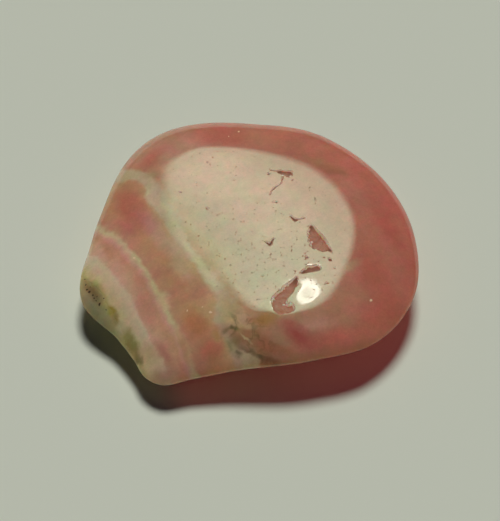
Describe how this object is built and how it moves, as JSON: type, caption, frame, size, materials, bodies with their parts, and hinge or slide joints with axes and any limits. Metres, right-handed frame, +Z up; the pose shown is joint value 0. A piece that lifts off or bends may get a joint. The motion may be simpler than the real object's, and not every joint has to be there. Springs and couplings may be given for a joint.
{
  "type": "polished rhodochrosite slice",
  "caption": "Palm-smooth freeform slice of rose banded stone with a flat polished top, rounded edges and shallow unpolished pits.",
  "frame": {"origin": "centre of the bounding box in plan, on the flat underside", "axes": "+X along the slice's length, +Y across it, +Z up out of the polished top"},
  "size_m": [0.0268, 0.0246, 0.0056],
  "materials": {
    "rhodochrosite": "glassy tumbled polish over rose, cream and olive bands"
  },
  "bodies": {
    "root": {"polished_slice": "rhodochrosite"}
  },
  "joints": []
}
